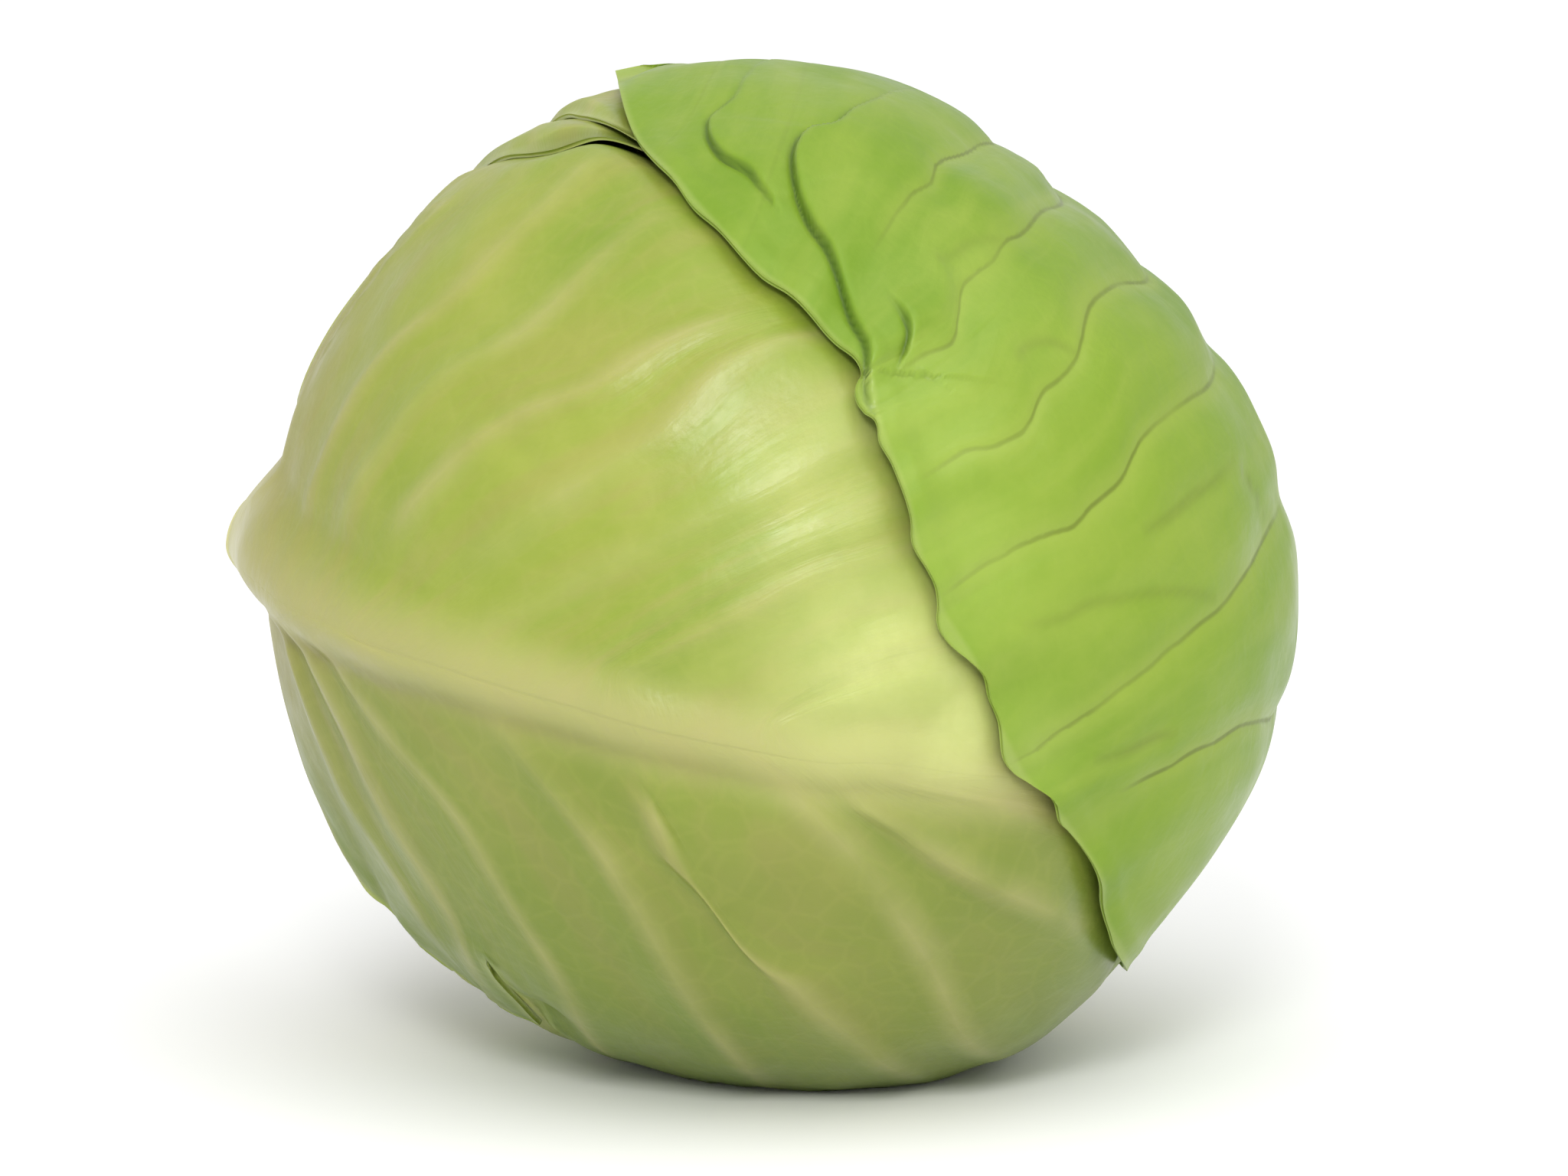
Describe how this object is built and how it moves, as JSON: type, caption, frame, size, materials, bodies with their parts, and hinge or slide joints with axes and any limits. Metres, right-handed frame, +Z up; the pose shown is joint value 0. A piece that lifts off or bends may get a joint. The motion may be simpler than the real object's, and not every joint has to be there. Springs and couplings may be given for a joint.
{
  "type": "cabbage head",
  "caption": "Round head of white cabbage lying on its side, with loose overlapping outer leaves wrapped round a dense heart and a cut stem.",
  "frame": {"origin": "middle of the small flat spot that the head rests on", "axes": "+Z up; the head's own axis lies along X, with the cut stem facing -X and the crown facing +X"},
  "size_m": [0.1752, 0.1697, 0.1651],
  "materials": {
    "crown_leaf": "fresh green leaf with a soft waxy shine",
    "front_leaf": "pale yellow-green leaf with a soft waxy shine",
    "back_leaf": "pale green leaf with a soft waxy shine",
    "top_leaf": "pale green leaf with a soft waxy shine",
    "under_leaf": "green leaf with a soft waxy shine",
    "heart": "crisp pale inner leaves",
    "stem": "matt cut stalk, slightly dried"
  },
  "bodies": {
    "root": {"crown_leaf": "crown_leaf", "front_leaf": "front_leaf", "back_leaf": "back_leaf", "top_leaf": "top_leaf", "under_leaf": "under_leaf", "heart": "heart", "stem": "stem"}
  },
  "joints": []
}
